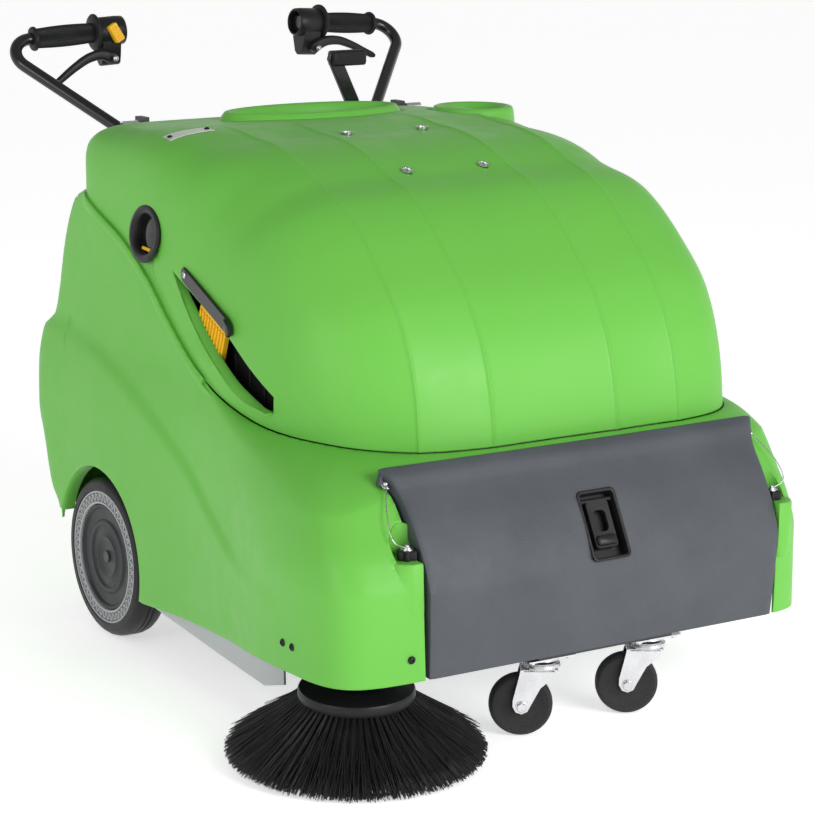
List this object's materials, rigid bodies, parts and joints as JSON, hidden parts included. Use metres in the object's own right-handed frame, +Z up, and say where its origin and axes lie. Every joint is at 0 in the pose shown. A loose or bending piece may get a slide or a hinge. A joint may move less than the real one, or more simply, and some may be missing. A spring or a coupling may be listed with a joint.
{
  "type": "walk behind sweeper",
  "caption": "Battery walk-behind sweeper: green domed hood, grey front hopper, side brush, roller brush, large rear wheels, swivel casters and hooked handles.",
  "frame": {"origin": "on the floor under the centre of the machine's footprint", "axes": "+Z up, -Y towards the front of the machine, +X towards the operator's left seen from behind facing forward"},
  "size_m": [0.9968, 1.3762, 1.0455],
  "materials": {
    "green_shell": "moulded, satin",
    "grey_panel": "grained",
    "black_plastic": "fine grain",
    "yellow_plastic": "satin",
    "black_paint": "gloss powder coat",
    "frame_paint": "powder coat",
    "zinc": "zinc plated",
    "steel": "satin",
    "label_metal": "satin",
    "rubber": "matte",
    "grip_rubber": "ribbed",
    "tyre": "matte",
    "rim_grey": "moulded",
    "bristle": "stiff fibre",
    "pane": "smoked",
    "grey_plastic": "moulded",
    "motor_paint": "satin",
    "filter_paper": "pleated",
    "battery_case": "moulded",
    "cable_rubber": "matte",
    "cast": "machined",
    "belt": "matte"
  },
  "bodies": {
    "machine": {"body_shell": "green_shell", "chassis_frame": "frame_paint", "filter_frame": "frame_paint", "gearmotor": "motor_paint", "batteries": "battery_case", "control_box": "grey_plastic", "battery_cables": "cable_rubber", "brush_housing": "frame_paint", "dust_skirt": "rubber", "brush_bearings": "cast", "drive_belt": "belt", "brush_motor": "motor_paint", "panel_filter": "filter_paper", "fan_housing": "grey_plastic", "caster_plates": "zinc", "handle_tubes": "black_paint", "grips": "grip_rubber", "control_housings": "black_plastic", "console": "black_plastic", "console_panel": "grey_plastic", "lanyard_left": "steel", "lanyard_right": "steel", "body_screws": "steel", "side_skirt": "grey_plastic"},
    "hood_body": {"hood": "green_shell", "hood_inserts": "steel", "label_plate": "label_metal", "window_bezel": "black_plastic", "window_pane": "pane", "lever_plate": "black_paint", "hood_hinges": "zinc"},
    "hopper_body": {"hopper_panel": "grey_panel", "hopper_bucket": "grey_plastic", "latch_frame": "black_plastic"},
    "latch_body": {"latch_handle": "black_plastic"},
    "wheel_left_body": {"tyre_left": "tyre", "rim_left": "rim_grey"},
    "wheel_right_body": {"tyre_right": "tyre", "rim_right": "rim_grey"},
    "caster_left_body": {"caster_fork_left": "zinc"},
    "caster_right_body": {"caster_fork_right": "zinc"},
    "caster_wheel_left_body": {"caster_wheel_left": "rubber"},
    "caster_wheel_right_body": {"caster_wheel_right": "rubber"},
    "side_arm_body": {"side_brush_arm": "frame_paint", "side_brush_motor": "motor_paint"},
    "side_brush_body": {"side_brush_disc": "black_plastic", "side_brush_bristles": "bristle"},
    "main_brush_body": {"main_brush_core": "grey_plastic", "main_brush_bristles": "bristle", "brush_pulley": "cast"},
    "motor_pulley_body": {"motor_pulley": "cast"},
    "fan_body": {"fan_impeller": "black_plastic"},
    "lever_left_body": {"lever_left": "black_plastic"},
    "lever_right_body": {"lever_right": "black_plastic"},
    "rocker_body": {"rocker": "yellow_plastic"},
    "drive_lever_body": {"drive_lever": "black_plastic"},
    "brush_lever_body": {"brush_lever": "yellow_plastic"},
    "key_body": {"key": "steel"},
    "knob_left_body": {"knob_left": "black_plastic"},
    "knob_right_body": {"knob_right": "black_plastic"}
  },
  "joints": [
    {"name": "hood_hinge", "type": "hinge", "parent": "machine", "child": "hood_body", "pos_m": [0.08276, 0.41014, 0.872], "axis": [-1, 0, 0], "range_deg": [0, 52]},
    {"name": "hopper_slide", "type": "slide", "parent": "machine", "child": "hopper_body", "axis": [0, -1, 0], "range_m": [0, 0.42]},
    {"name": "latch_pull", "type": "hinge", "parent": "hopper_body", "child": "latch_body", "pos_m": [0.08276, -0.56751, 0.36989], "axis": [-1, 0, 0], "range_deg": [0, 30], "stiffness_Nm_per_rad": 0.2},
    {"name": "wheel_left_spin", "type": "hinge", "parent": "machine", "child": "wheel_left_body", "pos_m": [0.08276, 0.30214, 0.14], "axis": [1, 0, 0], "continuous": true},
    {"name": "wheel_right_spin", "type": "hinge", "parent": "machine", "child": "wheel_right_body", "pos_m": [0.08276, 0.30214, 0.14], "axis": [1, 0, 0], "continuous": true},
    {"name": "caster_left_swivel", "type": "hinge", "parent": "machine", "child": "caster_left_body", "pos_m": [0.00776, -0.53786, 0.12], "axis": [0, 0, 1], "continuous": true},
    {"name": "caster_right_swivel", "type": "hinge", "parent": "machine", "child": "caster_right_body", "pos_m": [0.21176, -0.53786, 0.12], "axis": [0, 0, 1], "continuous": true},
    {"name": "caster_left_spin", "type": "hinge", "parent": "caster_left_body", "child": "caster_wheel_left_body", "pos_m": [-0.01924, -0.52086, 0.05], "axis": [-0.5328, -0.8462, 0], "continuous": true},
    {"name": "caster_right_spin", "type": "hinge", "parent": "caster_right_body", "child": "caster_wheel_right_body", "pos_m": [0.18476, -0.52086, 0.05], "axis": [-0.5328, -0.8462, 0], "continuous": true},
    {"name": "side_arm_lift", "type": "hinge", "parent": "machine", "child": "side_arm_body", "pos_m": [-0.29224, -0.25786, 0.2], "axis": [-1, 0, 0], "range_deg": [0, 5]},
    {"name": "side_brush_spin", "type": "hinge", "parent": "side_arm_body", "child": "side_brush_body", "pos_m": [-0.29624, -0.48586, 0.0156], "axis": [-0.0286, -0.0673, 0.9973], "continuous": true},
    {"name": "main_brush_spin", "type": "hinge", "parent": "machine", "child": "main_brush_body", "pos_m": [0.08276, 0.07214, 0.1254], "axis": [1, 0, 0], "continuous": true},
    {"name": "motor_pulley_spin", "type": "hinge", "parent": "machine", "child": "motor_pulley_body", "pos_m": [0.35476, 0.15214, 0.33], "axis": [1, 0, 0], "continuous": true},
    {"name": "fan_spin", "type": "hinge", "parent": "machine", "child": "fan_body", "pos_m": [-0.07224, 0.08714, 0.315], "axis": [0, 0, 1], "continuous": true},
    {"name": "lever_left_squeeze", "type": "hinge", "parent": "machine", "child": "lever_left_body", "pos_m": [-0.12924, 0.63314, 0.968], "axis": [0, 1, 0], "range_deg": [0, 14], "stiffness_Nm_per_rad": 0.3},
    {"name": "lever_right_squeeze", "type": "hinge", "parent": "machine", "child": "lever_right_body", "pos_m": [0.29476, 0.63314, 0.968], "axis": [0, -1, 0], "range_deg": [0, 14], "stiffness_Nm_per_rad": 0.3},
    {"name": "rocker_press", "type": "slide", "parent": "machine", "child": "rocker_body", "axis": [0, 1, 0], "range_m": [0, 0.0015], "stiffness_N_per_m": 400},
    {"name": "drive_lever_tilt", "type": "hinge", "parent": "machine", "child": "drive_lever_body", "pos_m": [0.26776, 0.45314, 0.79], "axis": [1, 0, 0], "range_deg": [-10, 8]},
    {"name": "brush_lever_tilt", "type": "hinge", "parent": "machine", "child": "brush_lever_body", "pos_m": [-0.29724, -0.04786, 0.33], "axis": [1, 0, 0], "range_deg": [0, 16]},
    {"name": "key_turn", "type": "hinge", "parent": "machine", "child": "key_body", "pos_m": [0.14276, 0.45863, 0.84582], "axis": [0, 0.6858, 0.7278], "range_deg": [0, 90]},
    {"name": "knob_left_pull", "type": "slide", "parent": "machine", "child": "knob_left_body", "axis": [0, 0, 1], "range_m": [0, 0.012], "deforming": ["lanyard_left"]},
    {"name": "knob_right_pull", "type": "slide", "parent": "machine", "child": "knob_right_body", "axis": [0, 0, 1], "range_m": [0, 0.012], "deforming": ["lanyard_right"]}
  ],
  "couplings": [
    {"joint": "motor_pulley_spin", "follows": "main_brush_spin", "ratio": 2}
  ]
}
